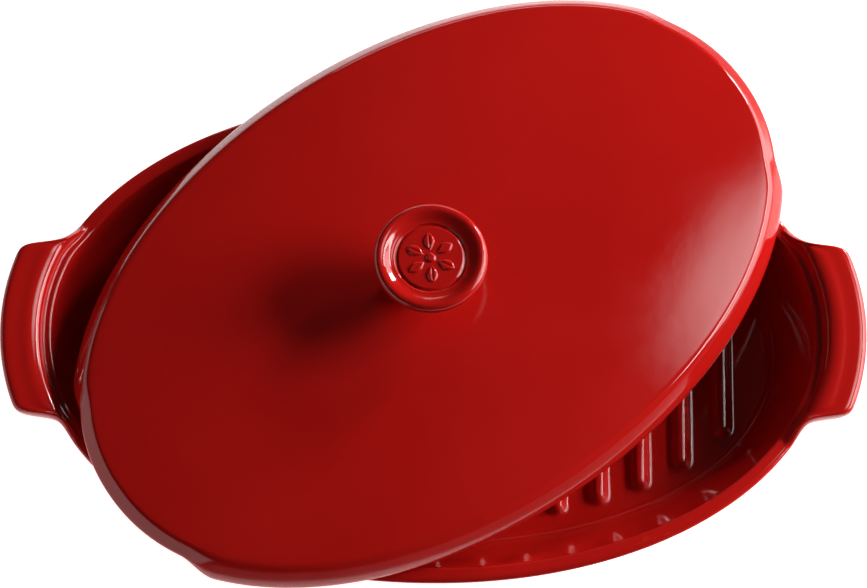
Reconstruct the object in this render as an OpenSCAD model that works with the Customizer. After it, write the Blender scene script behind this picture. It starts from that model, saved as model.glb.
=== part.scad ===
// Covered oval casserole dish in glazed ceramic: a deep oval dish with a ribbed floor and two tab
// handles, and a low domed lid with a round knob. The lid lies across the dish, turned and set back,
// as it does when the dish is left half open.
// Origin: the centre of the dish's underside. +X runs to one handle, +Z is up. Sizes are millimetres.

/* [Dish] */
// Half length of the dish's rim, handles left out
rim_half_length = 189.4; // [186:0.2:191]
// Half width of the dish's rim
rim_half_width = 123.1; // [120:0.1:125]
// Squareness of the rim's oval, where 2 is an ellipse
rim_squareness = 2.06; // [2.02:0.01:2.12]
// Height of the rim along the dish's long sides
rim_height = 43; // [38:1:50]
// Width of the flat band on top of the rim
rim_band = 7.6; // [7:0.2:9]
// Half length of the floor, out to the foot of the inner wall
floor_half_length = 165.6; // [162:0.2:168]
// Half width of the floor, out to the foot of the inner wall
floor_half_width = 95.1; // [92:0.2:98]
// Thickness of the floor
floor_thickness = 8; // [6:0.5:9]

/* [Handles] */
// Distance from the dish's centre to the tip of a handle
handle_reach = 206.6; // [204:0.2:210]
// Half width of a handle
handle_half_width = 43.1; // [41:0.1:46]
// Radius of the curve along a handle's outer edge
handle_tip_radius = 107; // [90:1:130]
// How far a handle stands above the rim
handle_rise = 10; // [8:0.5:11]
// How far the lid's seat inside a handle stands above the rim
seat_rise = 4.4; // [3.5:0.1:4.6]

/* [Ribs] */
// Number of ribs across the floor
rib_count = 15; // [11:2:15]
// Distance from one rib to the next
rib_pitch = 20; // [18:0.5:20]
// Height of a rib above the floor
rib_height = 3.8; // [2:0.2:5]
// Half width of a rib at the floor
rib_base = 5; // [4:0.2:7]
// Half width of a rib's crest
rib_crest = 1.5; // [1:0.1:3]
// Gap between the ends of the ribs and the wall
rib_gap = 8.5; // [6:0.5:14]

/* [Lid] */
// Half length of the oval that the lid's flange follows
lid_half_length = 189.8; // [187:0.1:190.2]
// Half width of the lid's flange
lid_half_width = 122.5; // [121:0.1:123]
// Half length of the lid where its flange is cut away, at the ends
lid_cut_half_length = 184.5; // [182:0.1:185]
// Half width of the oval that the cut ends follow
lid_cut_half_width = 117.9; // [117:0.1:119]
// Height of the dome's edge above the flange's underside
dome_edge_height = 14.2; // [14:0.1:15]
// Rise of the dome from its edge to its middle
dome_rise = 7.8; // [6:0.2:11]
// Thickness of the lid
lid_thickness = 5.5; // [5:0.1:6.5]
// Angle that the lid lies turned on the dish
lid_turn = 35.4; // [35:0.1:36]
// How far the lid lies set back from the dish's middle
lid_setback = 21.4; // [21:0.1:22]
// How far the lid lies off to the left of the dish's middle
lid_sideways = 1.4; // [1:0.1:2]
// Height of the flange's underside above the rim, where the lid lies with its lip across the rim
lid_rest_height = 3.6; // [3.6:0.1:8]

/* [Knob] */
// Diameter of the knob's head
knob_diameter = 54; // [46:1:60]
// Height of the knob
knob_height = 28; // [26:1:30]
// Diameter of the knob's neck
neck_diameter = 25.6; // [20:0.2:30]
// Number of petals in the rosette on top
petal_count = 6; // [5:1:8]

/* [Hidden] */

glaze_red = [0.66, 0.04, 0.03];
floor_squareness = 2.09;
lid_squareness = 2.02;
lid_cut_squareness = 2.08;

// Where the tab handles blend into the oval: a higher number is a tighter curve
corner_tightness = 34;
neck_tightness = 26;

// Angles, from a handle's middle, between which the handle's outer edge rises out of the rim
tab_low_angle = 18.2;
tab_full_angle = 13.5;

// Angles between which the lid's seat, and the shoulder round it, rise out of the rim
shoulder_low_angle = 17.5;
shoulder_full_angle = 11.5;

// Angles, from the lid's long axis, between which the flange is cut away
cut_low_angle = 19.7;
cut_full_angle = 13.5;

// Room between the cut ends and the seat when the flange is down on the rim
seat_clearance = 0.3;

// The foot that the dish stands on, and where its wall starts
foot_inset = 4;
foot_height = 2.2;
wall_start_height = 12;
wall_foot_outset = 3.5;

// How far the dome ends inside the lid's outline, along the sides and at the ends
side_edge_inset = 11;
end_edge_inset = 7.2;

// The locating lip under the lid
lip_inset = 9.6;
lip_drop = 3.4;
lip_width = 4;

// Share of the lid's radius that is a flat seat for the knob
knob_seat_share = 0.2;

// How far the knob's top is dished, and how deep the rosette and the knob sink into what they stand on
knob_dish = 2.6;
knob_overlap = 0.5;
petal_height = 0.7;

cut_lift = seat_rise + seat_clearance;
lid_flange_z = rim_height + lid_rest_height;
lid_top_z = dome_edge_height + dome_rise;

// Angles of the points round one quarter of the dish, close together where a handle starts
dish_quarter = concat([3, 6, 8.5], [for (a = [10.5 : 0.75 : 15.75]) a], [17, 18.5, 20, 22],
                      [for (a = [25 : 5 : 85]) a]);
// Angles of the points round one quarter of the lid, close together where the flange is cut
lid_quarter = concat([4, 8, 11], [for (a = [13 : 1 : 20]) a], [for (a = [23.5 : 5.5 : 84]) a]);

// A quarter's angles carried round the four quarters
function full_turn(quarter) = concat(
    [0], quarter,
    [90], [for (i = [len(quarter) - 1 : -1 : 0]) 180 - quarter[i]],
    [180], [for (a = quarter) 180 + a],
    [270], [for (i = [len(quarter) - 1 : -1 : 0]) 360 - quarter[i]]);

function mix(a, b, share) = a + (b - a) * share;

// 0 at low, 1 at high, with a smooth ramp between them
function ramp(low, high, x) =
    let (share = min(1, max(0, (x - low) / (high - low))))
    share * share * (3 - 2 * share);

// Point on a curve with one corner point, at a share of the way along it
function curve(start, corner, end, share) =
    mix(mix(start, corner, share), mix(corner, end, share), share);

// Angle from the nearer end of the long axis
function fold(angle) = min(angle % 180, 180 - angle % 180);

// Radius of an oval at an angle from its centre
function oval(half_length, half_width, squareness, angle) =
    pow(pow(abs(cos(angle)) / half_length, squareness)
        + pow(abs(sin(angle)) / half_width, squareness), -1 / squareness);

// Half width of an oval at a distance along its length
function oval_chord(half_length, half_width, squareness, x) =
    half_width * pow(1 - pow(abs(x) / half_length, squareness), 1 / squareness);

// Radius of a handle's outline: a wide arc at the tip, straight sides and round corners
function tab_radius(angle) =
    let (
        arc_centre = handle_reach - handle_tip_radius,
        tip = arc_centre * cos(angle)
            + sqrt(max(1, pow(handle_tip_radius, 2) - pow(arc_centre * sin(angle), 2))),
        side = handle_half_width / max(0.01, sin(angle))
    )
    pow(pow(tip, -corner_tightness) + pow(side, -corner_tightness), -1 / corner_tightness);

function rim_radius(angle) = oval(rim_half_length, rim_half_width, rim_squareness, angle);

// How far the handle reaches past the rim at an angle
function tab_reach(angle) =
    let (rim = rim_radius(angle))
    pow(pow(rim, neck_tightness) + pow(tab_radius(fold(angle)), neck_tightness), 1 / neck_tightness)
    - rim;

// The dish's section at an angle, from under the foot, up the outside, over the rim and down inside,
// as [radius, height] points
function dish_section(angle) =
    let (
        rim = rim_radius(angle),
        tab = tab_reach(angle),
        rise = ramp(shoulder_low_angle, shoulder_full_angle, fold(angle)),
        tab_rise = ramp(tab_low_angle, tab_full_angle, fold(angle)),
        floor_edge = oval(floor_half_length, floor_half_width, floor_squareness, angle),
        foot = floor_edge - foot_inset,
        wall_foot = floor_edge + wall_foot_outset,
        wall_top = rim_height - 2,
        wall_start = mix(wall_foot, rim, wall_start_height / wall_top),
        crease = rim - mix(4.5, 1.5, rise),
        shoulder = rim + tab - 2.6 - crease,
        inner = oval(rim_half_length - rim_band, rim_half_width - rim_band, rim_squareness, angle),
        inner_top = [inner + 0.8 * rise, rim_height - 1.5 + seat_rise * rise],
        fillet_start = mix([floor_edge, floor_thickness], inner_top, 0.2)
    )
    concat(
        // Foot and the turn into the wall
        [[foot, 0], [foot + 1, 0.8], [foot + 1.6, foot_height]],
        [for (share = [0.25 : 0.25 : 1])
            curve([foot + 1.8, foot_height], [wall_foot + 1, foot_height + 0.8],
                  [wall_start, wall_start_height], share)],
        // Wall and the underside of the handle: [depth below rim, share of the handle's reach, lift]
        [for (row = [[21, 0, 0], [15, 0.02, 0], [12, 0.1, 2], [9, 0.3, 4], [6.5, 0.6, 5],
                     [4.3, 0.86, 5.1], [2.6, 0.97, 5.8]])
            [mix(wall_foot, rim, (rim_height - row[0]) / wall_top) + tab * row[1],
             rim_height - row[0] + row[2] * tab_rise]],
        // Round outer edge: [inset, depth below the top]
        [for (row = [[0, 1.4], [0.9, 0.4], [2.6, 0]])
            [rim + tab - row[0], rim_height - row[1] + handle_rise * tab_rise * (1 - row[1] / 14)]],
        // Top of the handle, rolling over to the crease: [share of the way out, share of the rise]
        [for (row = [[0.62, 1], [0.36, 1.01], [0.15, 0.92], [0.03, 0.78]])
            [crease + shoulder * row[0],
             rim_height + handle_rise * row[1] * mix(rise, tab_rise, row[0])]],
        // Crease, seat and inner edge
        [[crease - 0.5, rim_height + mix(seat_rise, handle_rise, 0.2) * rise],
         [crease - 1.3, rim_height + seat_rise * rise],
         [inner + 1.5 + 1.2 * rise, rim_height + seat_rise * rise],
         [inner + 0.45 + rise, rim_height - 0.45 + seat_rise * rise],
         inner_top],
        // Inner wall and the fillet round the floor
        [for (share = [0.65 : -0.35 : 0.3]) mix([floor_edge, floor_thickness], inner_top, share)],
        [for (share = [0 : 0.25 : 1])
            curve(fillet_start, [floor_edge, floor_thickness], [floor_edge - 5, floor_thickness], share)]
    );

// Height of the dome's surface, from its flat middle (share 0) to its edge (share 1)
function dome_height(share) = lid_top_z - dome_rise * pow(share, 2.1);

// The lid's section at an angle, from its middle out over the dome, round the flange and back inside
function lid_section(angle) =
    let (
        cut = ramp(cut_low_angle, cut_full_angle, fold(angle)),
        flange = oval(lid_half_length, lid_half_width, lid_squareness, angle),
        cut_end = oval(lid_cut_half_length, lid_cut_half_width, lid_cut_squareness, angle),
        edge = mix(flange, cut_end, cut),
        bottom = cut_lift * cut,
        dome_edge = edge - mix(side_edge_inset, end_edge_inset, cut),
        seat = dome_edge * knob_seat_share,
        lip = edge - lip_inset,
        inside = lip - lip_width - 4
    )
    concat(
        [for (share = [0 : 0.2 : 0.8])
            [mix(seat, dome_edge, share), dome_height(share)]],
        [[mix(seat, dome_edge, 0.93), dome_height(0.93)]],
        // Round edge of the dome: [inset and drop along the sides, inset and drop at the ends]
        [for (row = [[side_edge_inset, 0, end_edge_inset, 0], [9.8, 0.2, 6.4, 0.12],
                     [8.6, 0.45, 5.8, 0.32], [7.6, 0.85, 5.2, 0.65]])
            [edge - mix(row[0], row[2], cut), dome_edge_height - mix(row[1], row[3], cut)]],
        // Sloping skirt: [inset and height along the sides, inset and height over the cut at the ends]
        [for (row = [[6.6, 12.75, 4.5, 8.3], [5.7, 11.9, 3.6, 7.5], [4.9, 10.9, 2.6, 6.65],
                     [3.6, 9.2, 1.5, 5.7], [2.1, 7.2, 0.6, 4.9], [0.8, 5.15, 0.1, 4.2],
                     [0, 2.2, 0, 2.8], [0.4, 0.6, 0.5, 0.9], [1.8, 0, 2.2, 0]])
            [edge - mix(row[0], row[2], cut), mix(row[1], cut_lift + row[3], cut)]],
        // Underside of the flange, the locating lip, and the hollow under the dome
        [[lip + 0.2, bottom], [lip - 0.1, bottom - 0.4], [lip - 0.5, 0.5 - lip_drop],
         [lip - 1.2, -lip_drop], [lip - lip_width + 0.7, -lip_drop],
         [lip - lip_width, 0.5 - lip_drop], [lip - lip_width - 0.8, 2]],
        [[inside, dome_height(1) - lid_thickness - 2],
         [inside - 5, dome_height(0.93) - lid_thickness]],
        [for (share = [0.75 : -0.25 : 0])
            [mix(seat, inside - 5, share), dome_height(share * 0.93) - lid_thickness]]
    );

// Closed solid from one section per angle, with flat caps at the first and last point of the section.
// Sections run outward over the top when up is false, and up the outside when up is true.
module turned_shell(angles, sections, up) {
    around = len(angles);
    along = len(sections[0]);
    points = [for (i = [0 : around - 1]) for (p = sections[i])
        [p[0] * cos(angles[i]), p[0] * sin(angles[i]), p[1]]];
    first_cap = [for (i = [0 : around - 1]) i * along];
    last_cap = [for (i = [around - 1 : -1 : 0]) i * along + along - 1];
    sides = [for (i = [0 : around - 1]) for (k = [0 : along - 2])
        let (a = i * along + k, b = ((i + 1) % around) * along + k)
        each [[a, a + 1, b + 1], [a, b + 1, b]]];
    caps = [first_cap, last_cap];
    all_faces = concat(caps, sides);
    polyhedron(points, up ? all_faces : [for (f = all_faces) [for (i = [len(f) - 1 : -1 : 0]) f[i]]]);
}

// One rib: a straight ridge with a round end at each end, sunk a little into the floor
module rib(half_length) {
    sink = 1;
    foot_width = rib_base + sink * (rib_base - rib_crest) / rib_height;
    full_height = rib_height + sink;
    end = half_length - rib_base;
    translate([0, 0, floor_thickness - sink]) {
        rotate([90, 0, 0])
            linear_extrude(height = 2 * end, center = true)
                polygon([[-foot_width, 0], [foot_width, 0],
                         [rib_crest, full_height], [-rib_crest, full_height]]);
        for (side = [-1, 1])
            translate([0, side * end, 0])
                cylinder(h = full_height, r1 = foot_width, r2 = rib_crest, $fn = 32);
    }
}

module dish() {
    angles = full_turn(dish_quarter);
    color(glaze_red) {
        turned_shell(angles, [for (a = angles) dish_section(a)], true);
        for (i = [0 : rib_count - 1]) {
            x = (i - (rib_count - 1) / 2) * rib_pitch;
            translate([x, 0, 0])
                rib(oval_chord(floor_half_length - rib_gap, floor_half_width - rib_gap, floor_squareness, x));
        }
    }
}

// Places what belongs to the lid where the lid lies on the dish
module on_lid() {
    translate([-lid_sideways, lid_setback, lid_flange_z])
        rotate([0, 0, lid_turn])
            children();
}

module lid() {
    angles = full_turn(lid_quarter);
    color(glaze_red)
        on_lid()
            turned_shell(angles, [for (a = angles) lid_section(a)], false);
}

// The knob's section: flared foot, neck, round head, dished top and a grooved ring round a flat medallion
function knob_section() =
    let (
        head = knob_diameter / 2,
        neck = neck_diameter / 2,
        foot_curve = 5,
        head_curve = 8,
        edge_width = 2.8,
        edge_height = 3.4,
        edge_centre = [head - edge_width, knob_height - edge_height],
        underside = knob_height - 2 * edge_height,
        dished = knob_height - knob_dish,
        medallion = 0.57 * head,
        ring = 0.64 * head
    )
    concat(
        [[0, 0]],
        [for (a = [90 : -15 : 0]) [neck + foot_curve * (1 - cos(a)), foot_curve * (1 - sin(a))]],
        [for (a = [0 : 15 : 90])
            [neck + head_curve * (1 - cos(a)), underside - head_curve * (1 - sin(a))]],
        [for (a = [-90 : 15 : 90]) edge_centre + [edge_width * cos(a), edge_height * sin(a)]],
        [for (share = [0.2 : 0.2 : 1])
            [mix(edge_centre[0], ring, share), mix(knob_height, dished, (1 - cos(180 * share)) / 2)]],
        [[ring - 0.5, dished - 0.5], [(ring + medallion) / 2, dished - 0.8], [medallion, dished],
         [0, dished]]
    );

// One petal of the rosette: the lens where two discs cross
module petal(length, bend) {
    shift = bend - length * 0.17;
    linear_extrude(height = petal_height + knob_overlap)
        intersection() {
            translate([length / 2, shift])
                circle(r = bend, $fn = 48);
            translate([length / 2, -shift])
                circle(r = bend, $fn = 48);
        }
}

module knob() {
    medallion_z = knob_height - knob_dish - knob_overlap;
    color(glaze_red)
        on_lid()
            translate([0, 0, lid_top_z]) {
                rotate_extrude($fn = 96)
                    polygon(knob_section());
                translate([0, 0, medallion_z]) {
                    cylinder(h = petal_height + knob_overlap, r = 2.2, $fn = 32);
                    for (i = [0 : petal_count - 1])
                        rotate([0, 0, i * 360 / petal_count])
                            translate([3.6, 0, 0])
                                petal(9, 9);
                }
            }
}

dish();
lid();
knob();
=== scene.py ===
"""Looks of the covered oval casserole dish: dish, lid and knob as smooth glazed ceramic.

Sections are worked out in millimetres, as in the CAD source, and meshes are built in metres.
"""
import math
import bpy
import numpy as np
from mathutils import Matrix, Vector


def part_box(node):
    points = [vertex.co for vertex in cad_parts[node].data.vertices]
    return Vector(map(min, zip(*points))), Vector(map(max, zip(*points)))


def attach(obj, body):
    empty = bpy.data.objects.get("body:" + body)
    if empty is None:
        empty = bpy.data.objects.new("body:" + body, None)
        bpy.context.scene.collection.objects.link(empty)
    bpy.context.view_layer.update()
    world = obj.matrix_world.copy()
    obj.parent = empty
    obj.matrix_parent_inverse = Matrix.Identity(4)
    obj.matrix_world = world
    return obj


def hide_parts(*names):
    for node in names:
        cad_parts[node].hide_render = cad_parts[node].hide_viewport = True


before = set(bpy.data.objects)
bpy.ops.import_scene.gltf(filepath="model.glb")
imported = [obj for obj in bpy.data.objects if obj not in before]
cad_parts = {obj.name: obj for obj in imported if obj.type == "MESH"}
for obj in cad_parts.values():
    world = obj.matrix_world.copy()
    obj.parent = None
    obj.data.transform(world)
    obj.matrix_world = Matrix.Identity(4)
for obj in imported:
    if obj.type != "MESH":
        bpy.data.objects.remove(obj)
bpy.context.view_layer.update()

MM = 0.001

# ---------------------------------------------------------------- sizes, in millimetres
# Half length, half width and squareness of each oval, where a squareness of 2 is an ellipse
RIM = (189.4, 123.1, 2.06)
FLOOR = (165.6, 95.1, 2.09)
LID_SIDES = (189.8, 122.5, 2.02)      # the foot of the lid's skirt
LID_ENDS = (184.5, 117.9, 2.08)       # the same where the skirt is cut away

RIM_HEIGHT = 43
RIM_BAND = 7.6
FLOOR_THICKNESS = 8

HANDLE_REACH = 206.6
HANDLE_HALF_WIDTH = 43.1
HANDLE_TIP_RADIUS = 107
HANDLE_RISE = 10                      # above the rim, as is the rise of the lid's seat
SEAT_RISE = 4.4
CORNER_TIGHTNESS = 34                 # a higher number is a tighter curve
NECK_TIGHTNESS = 26
# Angles from a handle's middle, in degrees, where a rise starts and where it is full
TAB_ANGLES = (18.2, 13.5)             # the handle's outer edge
SHOULDER_ANGLES = (17.5, 11.5)        # the lid's seat and the shoulder round it

FOOT_HEIGHT = 2.2
FOOT_INSET = 4                        # inside the floor's oval, and the wall's foot outside it
WALL_FOOT_OUTSET = 3.5
WALL_START_HEIGHT = 12

RIB_COUNT = 15
RIB_PITCH = 20
RIB_HEIGHT = 3.8
# Half widths of a rib at the floor and at its crest. Its flanks curve in and out here, so the first
# is a little more, and the second a little less, than for the CAD's straight flanks
RIB_BASE = 5.6
RIB_CREST = 1.1
RIB_GAP = 8.5                         # between the ends of the ribs and the wall

LID_TURN = math.radians(35.4)
CUT_ANGLES = (19.7, 13.5)             # where the lid's skirt starts to be cut away and is fully cut
SEAT_CLEARANCE = 0.3
CUT_LIFT = SEAT_RISE + SEAT_CLEARANCE
SIDE_EDGE_INSET = 11                  # how far the dome ends inside the lid's outline
END_EDGE_INSET = 7.2
DOME_EDGE_HEIGHT = 14.2
DOME_RISE = 7.8
LID_TOP = DOME_EDGE_HEIGHT + DOME_RISE
LID_THICKNESS = 5.5
LIP_INSET = 9.6
LIP_DROP = 3.4
LIP_WIDTH = 4
KNOB_SEAT_SHARE = 0.2                 # share of the lid's radius that is flat under the knob

KNOB_HEAD = 27                        # radii of the head, the neck and the medallion
KNOB_NECK = 12.8
MEDALLION = 0.57 * KNOB_HEAD
KNOB_HEIGHT = 28
KNOB_DISH = 2.6                       # how far the top is dished
PETAL_COUNT = 6
PETAL_HEIGHT = 0.7

# Where the lid lies, in metres: the knob stands on the middle of the lid's top
knob_low, knob_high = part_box("knob")
LID_PLACE = Vector(((knob_low.x + knob_high.x) / 2, (knob_low.y + knob_high.y) / 2, knob_low.z))


# ---------------------------------------------------------------- shape functions
def mix(a, b, share):
    return a + (b - a) * share


def ramp(low, high, x):
    """0 at low, 1 at high, with a smooth ramp between them."""
    share = np.clip((x - low) / (high - low), 0, 1)
    return share * share * (3 - 2 * share)


def fold(angles):
    """Angle from the nearer end of the long axis, in radians."""
    turned = np.mod(angles, math.pi)
    return np.minimum(turned, math.pi - turned)


def oval(shape, angles, inset=0):
    """Radius of an oval at each angle, with its half length and half width taken in by inset."""
    length, width, square = shape
    across = np.abs(np.cos(angles)) / (length - inset)
    up = np.abs(np.sin(angles)) / (width - inset)
    return (across ** square + up ** square) ** (-1 / square)


def oval_chord(shape, x, inset=0):
    """Half width of an oval at a distance along its length."""
    length, width, square = shape
    return (width - inset) * (1 - (abs(x) / (length - inset)) ** square) ** (1 / square)


def tab_reach(angles):
    """How far the handle reaches past the rim at each angle."""
    near = fold(angles)
    arc_centre = HANDLE_REACH - HANDLE_TIP_RADIUS
    chord = np.maximum(1, HANDLE_TIP_RADIUS ** 2 - (arc_centre * np.sin(near)) ** 2)
    tip = arc_centre * np.cos(near) + np.sqrt(chord)
    side = HANDLE_HALF_WIDTH / np.maximum(0.01, np.sin(near))
    corner = float(CORNER_TIGHTNESS)
    tab = (tip ** -corner + side ** -corner) ** (-1 / corner)
    rim = oval(RIM, angles)
    neck = float(NECK_TIGHTNESS)
    return (rim ** neck + tab ** neck) ** (1 / neck) - rim


def curve(start, corner, end, share):
    """Point on a curve with one corner point; points are (radius, height) pairs."""
    return [mix(mix(a, b, share), mix(b, c, share), share) for a, b, c in zip(start, corner, end)]


def dish_section(angles):
    """The dish's section at each angle, from under the foot, over the rim and down inside."""
    rim = oval(RIM, angles)
    tab = tab_reach(angles)
    rise = ramp(*SHOULDER_ANGLES, np.degrees(fold(angles)))
    tab_rise = ramp(*TAB_ANGLES, np.degrees(fold(angles)))
    floor_edge = oval(FLOOR, angles)
    foot = floor_edge - FOOT_INSET
    wall_foot = floor_edge + WALL_FOOT_OUTSET
    wall_top = RIM_HEIGHT - 2         # where the wall's line meets the rim's oval
    wall_start = mix(wall_foot, rim, WALL_START_HEIGHT / wall_top)
    # The handle's top runs in from its round outer edge to a crease, where the lid's seat starts
    edge_width = 2.6
    crease = rim - mix(4.5, 1.5, rise)
    shoulder = rim + tab - edge_width - crease
    inner = oval(RIM, angles, RIM_BAND)
    inner_top = (inner + 0.8 * rise, RIM_HEIGHT - 1.5 + SEAT_RISE * rise)
    floor_corner = (floor_edge, FLOOR_THICKNESS)
    fillet_start = [mix(a, b, 0.2) for a, b in zip(floor_corner, inner_top)]
    floor_start = (floor_edge - 5, FLOOR_THICKNESS)

    rows = [(foot, 0), (foot + 1, 0.8), (foot + 1.6, FOOT_HEIGHT)]
    for share in (0.25, 0.5, 0.75, 1):
        rows.append(curve((foot + 1.8, FOOT_HEIGHT), (wall_foot + 1, FOOT_HEIGHT + 0.8),
                          (wall_start, WALL_START_HEIGHT), share))
    # Wall and the underside of the handle: depth below the rim, share of the reach, lift
    for depth, reach, lift in ((21, 0, 0), (15, 0.02, 0), (12, 0.1, 2), (9, 0.3, 4), (6.5, 0.6, 5),
                               (4.3, 0.86, 5.1), (2.6, 0.97, 5.8)):
        rows.append((mix(wall_foot, rim, (RIM_HEIGHT - depth) / wall_top) + tab * reach,
                     RIM_HEIGHT - depth + lift * tab_rise))
    # Round outer edge, deeper where the handle is full: inset, depth below the top
    for inset, depth in ((0, 1.4), (0.9, 0.4), (edge_width, 0)):
        rows.append((rim + tab - inset, RIM_HEIGHT - depth + HANDLE_RISE * tab_rise * (1 - depth / 14)))
    # Top of the handle, rolling over to the crease: share of the way out, share of the rise
    for out, lift in ((0.62, 1), (0.36, 1.01), (0.15, 0.92), (0.03, 0.78)):
        rows.append((crease + shoulder * out,
                     RIM_HEIGHT + HANDLE_RISE * lift * mix(rise, tab_rise, out)))
    # Crease, seat and inner edge
    rows.append((crease - 0.5, RIM_HEIGHT + mix(SEAT_RISE, HANDLE_RISE, 0.2) * rise))
    rows.append((crease - 1.3, RIM_HEIGHT + SEAT_RISE * rise))
    rows.append((inner + 1.5 + 1.2 * rise, RIM_HEIGHT + SEAT_RISE * rise))
    rows.append((inner + 0.45 + rise, RIM_HEIGHT - 0.45 + SEAT_RISE * rise))
    rows.append(inner_top)
    # Inner wall and the fillet round the floor
    for share in (0.65, 0.3):
        rows.append([mix(a, b, share) for a, b in zip(floor_corner, inner_top)])
    for share in (0, 0.25, 0.5, 0.75, 1):
        rows.append(curve(fillet_start, floor_corner, floor_start, share))
    return stack(rows, angles)


def dome_height(share):
    """Height of the dome's surface, from its flat middle (0) to its edge (1)."""
    return LID_TOP - DOME_RISE * share ** 2.1


def lid_section(angles):
    """The lid's section at each angle, from its middle over the dome, down the skirt and back inside."""
    cut = ramp(*CUT_ANGLES, np.degrees(fold(angles)))
    edge = mix(oval(LID_SIDES, angles), oval(LID_ENDS, angles), cut)
    bottom = CUT_LIFT * cut
    dome_edge = edge - mix(SIDE_EDGE_INSET, END_EDGE_INSET, cut)
    seat = dome_edge * KNOB_SEAT_SHARE
    lip = edge - LIP_INSET
    inside = lip - LIP_WIDTH - 4

    rows = [(mix(seat, dome_edge, share), dome_height(share)) for share in (0, 0.2, 0.4, 0.6, 0.8)]
    rows.append((mix(seat, dome_edge, 0.93), dome_height(0.93)))
    # Round edge of the dome: inset and drop along the sides, inset and drop at the ends
    for side, drop, end, end_drop in (
            (SIDE_EDGE_INSET, 0, END_EDGE_INSET, 0), (9.8, 0.2, 6.4, 0.12),
            (8.6, 0.45, 5.8, 0.32), (7.6, 0.85, 5.2, 0.65)):
        rows.append((edge - mix(side, end, cut), DOME_EDGE_HEIGHT - mix(drop, end_drop, cut)))
    # Sloping skirt: inset and height along the sides, inset and height over the cut at the ends
    for side, height, end, end_height in (
            (6.6, 12.75, 4.5, 8.3), (5.7, 11.9, 3.6, 7.5), (4.9, 10.9, 2.6, 6.65),
            (3.6, 9.2, 1.5, 5.7), (2.1, 7.2, 0.6, 4.9), (0.8, 5.15, 0.1, 4.2), (0, 2.2, 0, 2.8),
            (0.4, 0.6, 0.5, 0.9), (1.8, 0, 2.2, 0)):
        rows.append((edge - mix(side, end, cut), mix(height, CUT_LIFT + end_height, cut)))
    # Underside of the skirt's foot, the locating lip, and the hollow under the dome
    rows += [(lip + 0.2, bottom), (lip - 0.1, bottom - 0.4), (lip - 0.5, 0.5 - LIP_DROP),
             (lip - 1.2, -LIP_DROP), (lip - LIP_WIDTH + 0.7, -LIP_DROP),
             (lip - LIP_WIDTH, 0.5 - LIP_DROP), (lip - LIP_WIDTH - 0.8, 2),
             (inside, dome_height(1) - LID_THICKNESS - 2),
             (inside - 5, dome_height(0.93) - LID_THICKNESS)]
    for share in (0.75, 0.5, 0.25, 0):
        rows.append((mix(seat, inside - 5, share), dome_height(share * 0.93) - LID_THICKNESS))
    return stack(rows, angles)


def knob_section():
    """The knob's outline from its foot, round the head and down to the edge of the medallion."""
    edge_width = 2.8
    edge_height = 3.4
    edge_centre = (KNOB_HEAD - edge_width, KNOB_HEIGHT - edge_height)
    underside = KNOB_HEIGHT - 2 * edge_height
    dished = KNOB_HEIGHT - KNOB_DISH
    ring = 0.64 * KNOB_HEAD
    groove_depth = 0.8
    foot_curve = 5
    head_curve = 8
    rows = []
    for a in np.radians(np.arange(90, -1, -10)):
        rows.append((KNOB_NECK + foot_curve * (1 - math.cos(a)), foot_curve * (1 - math.sin(a))))
    for a in np.radians(np.arange(0, 81, 10)):
        rows.append((KNOB_NECK + head_curve * (1 - math.cos(a)),
                     underside - head_curve * (1 - math.sin(a))))
    for a in np.radians(np.arange(-90, 91, 10)):
        rows.append((edge_centre[0] + edge_width * math.cos(a),
                     edge_centre[1] + edge_height * math.sin(a)))
    for share in np.arange(0.1, 1.01, 0.1):
        rows.append((mix(edge_centre[0], ring, share),
                     mix(KNOB_HEIGHT, dished, (1 - math.cos(math.pi * share)) / 2)))
    rows += [(ring - 0.45, dished - 0.45), ((ring + MEDALLION) / 2, dished - groove_depth),
             (MEDALLION + 0.3, dished - 0.3), (MEDALLION - 0.3, dished)]
    return np.array(rows)


def stack(rows, angles):
    """Rows of (radius, height), each a number or one number per angle, as one array."""
    flat = np.zeros_like(angles)
    return np.array([[flat + radius, flat + height] for radius, height in rows]).transpose(0, 2, 1)


def smooth_section(section, step, most):
    """Rows of a section joined by smooth curves that pass through every row.

    Each gap is split into steps of about step millimetres, and into most of them at most.
    """
    before = np.concatenate([[2 * section[0] - section[1]], section])
    points = np.concatenate([before, [2 * section[-1] - section[-2]]])
    gaps = np.linalg.norm(np.diff(points, axis=0), axis=2)
    knots = np.maximum(gaps, 1e-4) ** 0.5
    rows = [section[0]]
    for k in range(len(section) - 1):
        p0, p1, p2, p3 = points[k:k + 4]
        g0, g1, g2 = (knots[k + i][:, None] for i in range(3))
        start = g1 * ((p1 - p0) / g0 - (p2 - p0) / (g0 + g1) + (p2 - p1) / g1)
        end = g1 * ((p2 - p1) / g1 - (p3 - p1) / (g1 + g2) + (p3 - p2) / g2)
        count = int(np.clip(np.ceil(gaps[k + 1].max() / step), 1, most))
        for i in range(1, count + 1):
            u = i / count
            rows.append((2 * u ** 3 - 3 * u ** 2 + 1) * p1 + (u ** 3 - 2 * u ** 2 + u) * start
                        + (3 * u ** 2 - 2 * u ** 3) * p2 + (u ** 3 - u ** 2) * end)
    return np.array(rows)


# ---------------------------------------------------------------- mesh building
def ring_points(section, angles):
    """Points (rows, around, 3) of a section turned to each angle, in millimetres."""
    radius, height = section[..., 0], section[..., 1]
    return np.stack([radius * np.cos(angles), radius * np.sin(angles), height], axis=2)


def wall_faces(rows, around, flip):
    """Quads between neighbouring rows of a closed ring grid."""
    faces = []
    for k in range(rows - 1):
        for i in range(around):
            j = (i + 1) % around
            quad = (k * around + i, k * around + j, (k + 1) * around + j, (k + 1) * around + i)
            faces.append(quad[::-1] if flip else quad)
    return faces


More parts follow.
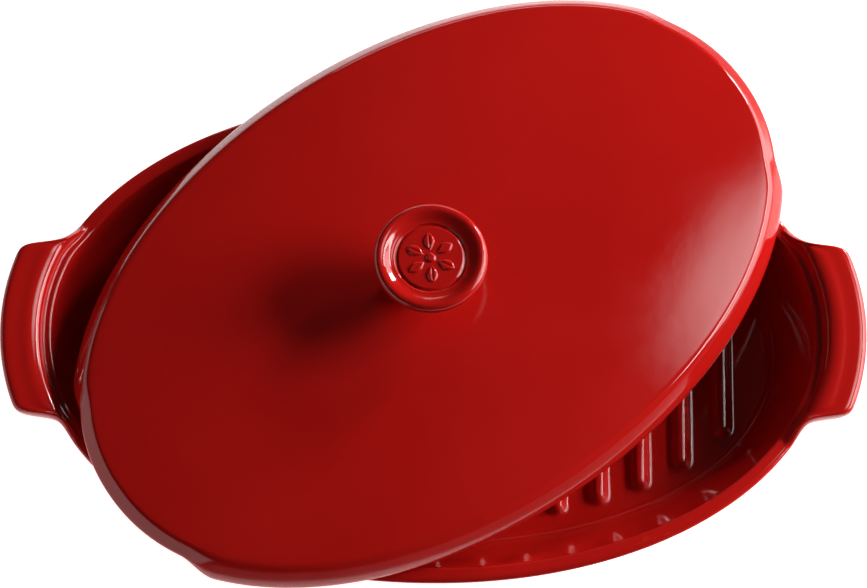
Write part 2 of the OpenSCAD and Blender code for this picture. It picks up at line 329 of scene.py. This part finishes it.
def fan_faces(start, around, centre, flip):
    """Triangles from a centre point to a closed ring."""
    faces = []
    for i in range(around):
        tri = (start + i, start + (i + 1) % around, centre)
        faces.append(tri[::-1] if flip else tri)
    return faces


def make_piece(name, points, faces, body, node, material):
    """A smooth mesh object, in metres, riding on its body in place of its CAD node."""
    mesh = bpy.data.meshes.new(name)
    mesh.from_pydata((np.asarray(points) * MM).tolist(), [], faces)
    mesh.validate()
    mesh.shade_smooth()
    piece = bpy.data.objects.new(name, mesh)
    bpy.context.scene.collection.objects.link(piece)
    mesh.materials.append(material)
    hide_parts(node)
    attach(piece, body)


def rib_lift(x, y):
    """Height of the ribs above the floor at each point."""
    lift = np.zeros_like(x)
    for i in range(RIB_COUNT):
        rib_x = (i - (RIB_COUNT - 1) / 2) * RIB_PITCH
        end = oval_chord(FLOOR, rib_x, RIB_GAP) - RIB_BASE
        distance = np.hypot(x - rib_x, np.maximum(0, np.abs(y) - end))
        lift = np.maximum(lift, RIB_HEIGHT * ramp(RIB_BASE, RIB_CREST, distance))
    return lift


def floor_grid(ring, first, half_turn, across):
    """The ribbed floor: columns across the dish that end on the ring round the floor.

    ring is the ring's points, whose indices start at first; half_turn is the number of steps in
    half a turn. Returns the inner points and the faces.
    """
    inner_shares = np.linspace(-1, 1, across + 1)[1:-1]
    around = 2 * half_turn
    base = first + around
    points = []
    for j in range(1, half_turn):
        x, y = ring[j][0], ring[j][1]
        columns = np.stack([np.full_like(inner_shares, x), inner_shares * y], axis=1)
        z = FLOOR_THICKNESS + rib_lift(columns[:, 0], columns[:, 1])
        points.append(np.column_stack([columns, z]))

    def column(j):
        inner = [base + (j - 1) * (across - 1) + i for i in range(across - 1)]
        return [first + around - j] + inner + [first + j]

    faces = []
    for j in range(1, half_turn - 1):
        near, far = column(j), column(j + 1)
        faces += [(near[i], near[i + 1], far[i + 1], far[i]) for i in range(across)]
    tips = ((first, column(1), False), (first + half_turn, column(half_turn - 1), True))
    for tip, end_column, flip in tips:
        for i in range(across):
            tri = (tip, end_column[i + 1], end_column[i])
            faces.append(tri[::-1] if flip else tri)
    return np.concatenate(points), faces


def build_dish(material):
    """The dish, with its ribbed floor inside and a flat face under its foot."""
    half_turn = 480
    around = 2 * half_turn
    across = 120
    angles = np.linspace(0, 2 * math.pi, around, endpoint=False)
    section = smooth_section(dish_section(angles), step=1.2, most=6)
    rings = ring_points(section, angles)
    rows = len(rings)
    points = rings.reshape(-1, 3)
    floor_points, floor_faces = floor_grid(rings[-1], (rows - 1) * around, half_turn, across)
    underside_centre = len(points) + len(floor_points)
    points = np.concatenate([points, floor_points, [[0, 0, 0]]])
    faces = wall_faces(rows, around, False)
    faces += fan_faces(0, around, underside_centre, True)
    faces += floor_faces
    make_piece("dish_glazed", points, faces, "dish", "dish", material)


def place_on_lid(points, base):
    """Points of the lid or knob, turned and moved to where the lid lies.

    base is how high their own zero stands above the top of the lid.
    """
    turn = np.array(Matrix.Rotation(LID_TURN, 3, "Z"))
    return np.asarray(points) @ turn.T + np.array(LID_PLACE) / MM + [0, 0, base]


def build_lid(material):
    """The lid, closed over its top and over the hollow under its dome."""
    around = 720
    angles = np.linspace(0, 2 * math.pi, around, endpoint=False)
    section = smooth_section(lid_section(angles), step=2.0, most=10)
    rings = ring_points(section, angles)
    rows = len(rings)
    points = rings.reshape(-1, 3)
    centres = [[0, 0, LID_TOP], [0, 0, LID_TOP - LID_THICKNESS]]
    faces = wall_faces(rows, around, True)
    faces += fan_faces(0, around, len(points), False)
    faces += fan_faces((rows - 1) * around, around, len(points) + 1, True)
    points = place_on_lid(np.concatenate([points, centres]), -LID_TOP)
    make_piece("lid_glazed", points, faces, "lid", "lid", material)


def rosette_lift(radius, angle):
    """Height of a plain six-petal rosette in low relief on the medallion."""
    turned = np.mod(angle + math.pi / PETAL_COUNT, 2 * math.pi / PETAL_COUNT) - math.pi / PETAL_COUNT
    along = radius * np.cos(turned)
    off = np.abs(radius * np.sin(turned))
    start, length, widest = 3.6, 8.8, 2.7
    share = np.clip((along - start) / length, 0, 1)
    half_width = widest * np.sin(math.pi * share ** 1.2) ** 0.8
    petal = ramp(0, 0.9, half_width - off) * (1 - 0.35 * ramp(0.8, 0, off))
    bud = ramp(2.6, 1.5, radius)
    return PETAL_HEIGHT * np.maximum(petal, bud)


def build_knob(material):
    """The knob, whose dished top ends in a medallion with the rosette."""
    around = 360
    medallion_step = 0.25
    angles = np.linspace(0, 2 * math.pi, around, endpoint=False)
    outline = np.repeat(knob_section()[:, None, :], around, axis=1)
    section = smooth_section(outline, step=0.6, most=5)
    # From just inside the medallion's edge to just off its middle
    radii = np.arange(MEDALLION - 0.6, 0.2, -medallion_step)
    dished = KNOB_HEIGHT - KNOB_DISH
    medallion = [np.stack([np.full(around, r), dished + rosette_lift(r, angles)], axis=1) for r in radii]
    rings = ring_points(np.concatenate([section, medallion]), angles)
    rows = len(rings)
    points = rings.reshape(-1, 3)
    centres = [[0, 0, 0], [0, 0, dished + PETAL_HEIGHT]]
    faces = wall_faces(rows, around, False)
    faces += fan_faces(0, around, len(points), True)
    faces += fan_faces((rows - 1) * around, around, len(points) + 1, False)
    points = place_on_lid(np.concatenate([points, centres]), 0)
    make_piece("knob_glazed", points, faces, "lid", "knob", material)


# ---------------------------------------------------------------- materials
GLAZE_DEEP = (0.50, 0.0070, 0.0052, 1)
GLAZE_BRIGHT = (0.58, 0.0100, 0.0075, 1)
GLAZE_THIN = (0.62, 0.022, 0.012, 1)
PINHOLE_COLOUR = (0.10, 0.004, 0.003, 1)
CLAY_DARK = (0.46, 0.33, 0.23, 1)
CLAY_PALE = (0.66, 0.52, 0.39, 1)


class Nodes:
    """Short calls for building the node tree of a material, a light or the world."""

    def __init__(self, owner):
        owner.use_nodes = True
        self.tree = owner.node_tree
        self.tree.nodes.clear()

    def add(self, kind, values=None, **attributes):
        """A new node; values gives each input, by name or number, a value or a socket to link."""
        node = self.tree.nodes.new(kind)
        for key, value in attributes.items():
            setattr(node, key, value)
        for key, value in (values or {}).items():
            if isinstance(value, bpy.types.NodeSocket):
                self.tree.links.new(value, node.inputs[key])
            else:
                node.inputs[key].default_value = value
        return node

    def noise(self, where, scale, detail, roughness=0.5):
        return self.add("ShaderNodeTexNoise", {"Vector": where, "Scale": scale, "Detail": detail,
                                               "Roughness": roughness}).outputs["Fac"]

    def remap(self, value, from_low, from_high, to_low, to_high):
        return self.add("ShaderNodeMapRange", {
            "Value": value, "From Min": from_low, "From Max": from_high,
            "To Min": to_low, "To Max": to_high}).outputs["Result"]

    def math(self, operation, a, b=0):
        return self.add("ShaderNodeMath", {0: a, 1: b}, operation=operation).outputs[0]

    def blend(self, share, a, b):
        """Colour a at share 0 and colour b at share 1; a mix node's colour sockets are 6 and 7."""
        return self.add("ShaderNodeMix", {0: share, 6: a, 7: b}, data_type="RGBA").outputs[2]


def glaze_material(name, with_foot):
    """Red glaze over ceramic: slow tone changes, a faint ripple, pinholes, and thin glaze on edges.

    with_foot leaves the fired clay bare on the foot that the dish stands on.
    """
    material = bpy.data.materials.new(name)
    nodes = Nodes(material)
    where = nodes.add("ShaderNodeTexCoord").outputs["Object"]

    tone = nodes.remap(nodes.noise(where, 9, 4), 0.3, 0.7, 0, 1)
    colour = nodes.blend(tone, GLAZE_DEEP, GLAZE_BRIGHT)
    # Glaze runs thin over sharp edges, where the clay's warmth shows through
    edge = nodes.remap(nodes.add("ShaderNodeNewGeometry").outputs["Pointiness"], 0.51, 0.58, 0, 0.5)
    colour = nodes.blend(edge, colour, GLAZE_THIN)
    # Pinholes and specks: small dots, far apart
    cells = nodes.add("ShaderNodeTexVoronoi", {"Vector": where, "Scale": 55.0})
    dots = nodes.remap(cells.outputs["Distance"], 0.012, 0.026, 1, 0)
    chosen = nodes.math("GREATER_THAN", nodes.noise(where, 23, 2), 0.60)
    pinholes = nodes.math("MULTIPLY", dots, chosen)
    colour = nodes.blend(nodes.math("MULTIPLY", pinholes, 0.6), colour, PINHOLE_COLOUR)

    roughness = nodes.remap(nodes.noise(where, 40, 4), 0.3, 0.7, 0.055, 0.115)
    ripple = nodes.noise(where, 130, 2)
    height = nodes.math("SUBTRACT", nodes.math("MULTIPLY", ripple, 0.6), pinholes)
    bump = nodes.add("ShaderNodeBump", {"Height": height, "Strength": 0.12, "Distance": 0.0004})

    shader = nodes.add("ShaderNodeBsdfPrincipled", {"IOR": 1.52})
    if with_foot:
        clay_tone = nodes.noise(where, 260, 5, 0.65)
        clay = nodes.blend(clay_tone, CLAY_DARK, CLAY_PALE)
        # The glaze ends just under the top of the foot's side, along a slightly wavering line
        level = nodes.add("ShaderNodeSeparateXYZ", {"Vector": where}).outputs["Z"]
        waver = nodes.remap(nodes.noise(where, 60, 3), 0.3, 0.7, -0.0003, 0.0003)
        bare = nodes.remap(nodes.math("ADD", level, waver), 0.0016, 0.0019, 1, 0)
        colour = nodes.blend(bare, colour, clay)
        roughness = nodes.add("ShaderNodeMapRange", {"Value": bare, "To Min": roughness, "To Max": 0.85}
                              ).outputs["Result"]
    nodes.tree.links.new(colour, shader.inputs["Base Color"])
    nodes.tree.links.new(roughness, shader.inputs["Roughness"])
    nodes.tree.links.new(bump.outputs["Normal"], shader.inputs["Normal"])
    output = nodes.add("ShaderNodeOutputMaterial")
    nodes.tree.links.new(shader.outputs["BSDF"], output.inputs["Surface"])
    return material


# ---------------------------------------------------------------- scene
def make_camera():
    """A long lens almost overhead, tipped towards the viewer, as solved from the photo's outlines."""
    tip = math.radians(18.49)
    roll = math.radians(0.24)
    distance = 2.266
    aim = Vector((0, 0.0204, RIM_HEIGHT * MM))
    data = bpy.data.cameras.new("camera")
    data.lens = 195.45
    data.sensor_width = 36
    data.clip_end = 20
    camera = bpy.data.objects.new("camera", data)
    bpy.context.scene.collection.objects.link(camera)
    place = aim + distance * Vector((0, -math.sin(tip), math.cos(tip)))
    camera.matrix_world = (Matrix.Translation(place) @ Matrix.Rotation(tip, 4, "X")
                           @ Matrix.Rotation(roll, 4, "Z"))
    bpy.context.scene.camera = camera


def soften_edges(light, core):
    """Gives an area light its full strength out to the core share of its size, and none at its edge."""
    nodes = Nodes(light.data)
    where = nodes.add("ShaderNodeNewGeometry").outputs["Parametric"]
    split = nodes.add("ShaderNodeSeparateXYZ", {"Vector": where})
    offsets = [nodes.math("ABSOLUTE", nodes.math("SUBTRACT", split.outputs[axis], 0.5))
               for axis in ("X", "Y")]
    away = nodes.math("SQRT", nodes.math("ADD", nodes.math("POWER", offsets[0], 2),
                                         nodes.math("POWER", offsets[1], 2)))
    fade = nodes.add("ShaderNodeMapRange", {"Value": away, "From Min": 0.5 * core, "From Max": 0.5,
                                            "To Min": 1, "To Max": 0}, interpolation_type="SMOOTHSTEP")
    emission = nodes.add("ShaderNodeEmission", {"Strength": fade.outputs["Result"]})
    output = nodes.add("ShaderNodeOutputLight")
    nodes.tree.links.new(emission.outputs["Emission"], output.inputs["Surface"])


def make_light(name, place, size, power, core=None, lights=True, reflects=True):
    """An area light facing the dish, with its place and size in metres and its power in watts.

    core is the share of its size that has the full strength, where its edges are soft. A light that
    doesn't light the scene is a card that only the glaze's reflections show, and one that doesn't
    reflect only lights the scene.
    """
    target = Vector((0, 0.02, 0.05))      # close to the middle of the lid
    data = bpy.data.lights.new(name, "AREA")
    data.shape = "RECTANGLE"
    data.size, data.size_y = size
    data.energy = power
    light = bpy.data.objects.new(name, data)
    bpy.context.scene.collection.objects.link(light)
    light.location = place
    light.rotation_euler = (target - Vector(place)).to_track_quat("-Z", "Y").to_euler()
    light.visible_diffuse = lights
    light.visible_glossy = reflects
    if core is not None:
        soften_edges(light, core)


def make_floor():
    """A floor that glows white round the dish and fades to grey with distance, in metres."""
    half = 3.0
    white_out_to = 0.28
    grey_from = 0.62
    grey = 0.12
    reflected = 0.9
    glow = 0.95
    mesh = bpy.data.meshes.new("floor")
    mesh.from_pydata([(-half, -half, 0), (half, -half, 0), (half, half, 0), (-half, half, 0)], [],
                     [(0, 1, 2, 3)])
    floor = bpy.data.objects.new("floor", mesh)
    bpy.context.scene.collection.objects.link(floor)
    material = bpy.data.materials.new("floor_white")
    nodes = Nodes(material)
    where = nodes.add("ShaderNodeTexCoord").outputs["Object"]
    distance = nodes.add("ShaderNodeVectorMath", {0: where}, operation="LENGTH").outputs["Value"]
    fade = nodes.add("ShaderNodeMapRange", {"Value": distance, "From Min": white_out_to,
                                            "From Max": grey_from, "To Min": 1, "To Max": grey},
                     interpolation_type="SMOOTHSTEP").outputs["Result"]
    colour = nodes.add("ShaderNodeCombineColor", {channel: nodes.math("MULTIPLY", fade, reflected)
                                                  for channel in ("Red", "Green", "Blue")})
    shader = nodes.add("ShaderNodeBsdfPrincipled", {
        "Base Color": colour.outputs["Color"], "Roughness": 0.7, "Emission Color": (1, 1, 1, 1),
        "Emission Strength": nodes.math("MULTIPLY", fade, glow)})
    output = nodes.add("ShaderNodeOutputMaterial")
    nodes.tree.links.new(shader.outputs["BSDF"], output.inputs["Surface"])
    mesh.materials.append(material)


def make_world(strength):
    """Even, dim white surroundings."""
    world = bpy.data.worlds.new("studio")
    nodes = Nodes(world)
    background = nodes.add("ShaderNodeBackground", {"Color": (1, 1, 1, 1), "Strength": strength})
    output = nodes.add("ShaderNodeOutputWorld")
    nodes.tree.links.new(background.outputs["Background"], output.inputs["Surface"])
    bpy.context.scene.world = world


def polar(distance, azimuth, elevation):
    """A place at a distance from the dish, in metres: azimuth from +X towards +Y, in degrees."""
    a, e = math.radians(azimuth), math.radians(elevation)
    return (distance * math.cos(a) * math.cos(e), distance * math.sin(a) * math.cos(e),
            distance * math.sin(e))


make_camera()
make_world(0.02)
make_floor()
# Those with lights=False are cards that show as pale reflections. main is the strongest light.
make_light("key", polar(2.0, 47.6, 22), (0.28, 0.28), 13)
make_light("main", polar(2.2, 15, 23.5), (1.1, 0.7), 62, reflects=False)
make_light("softbox_right", polar(2.2, 14, 22), (2.2, 0.9), 40, lights=False)
make_light("softbox_core", polar(2.2, 8, 39.5), (1.85, 0.26), 23, lights=False)
make_light("softbox_glow", polar(2.2, 24, 60), (1.1, 1.0), 18, 0.35, lights=False)
make_light("panel_right", polar(2.2, 22, 5), (3.0, 0.44), 26, 0.8, lights=False)
make_light("panel_left", polar(0.95, 192, 13), (1.9, 0.45), 2.6)
make_light("strip_back", polar(1.0, 90, 13), (0.75, 0.12), 1.2, lights=False)

bpy.context.scene.view_settings.view_transform = "Standard"

dish_material = glaze_material("red_glaze_dish", True)
lid_material = glaze_material("red_glaze_lid", False)
build_dish(dish_material)
build_lid(lid_material)
build_knob(lid_material)
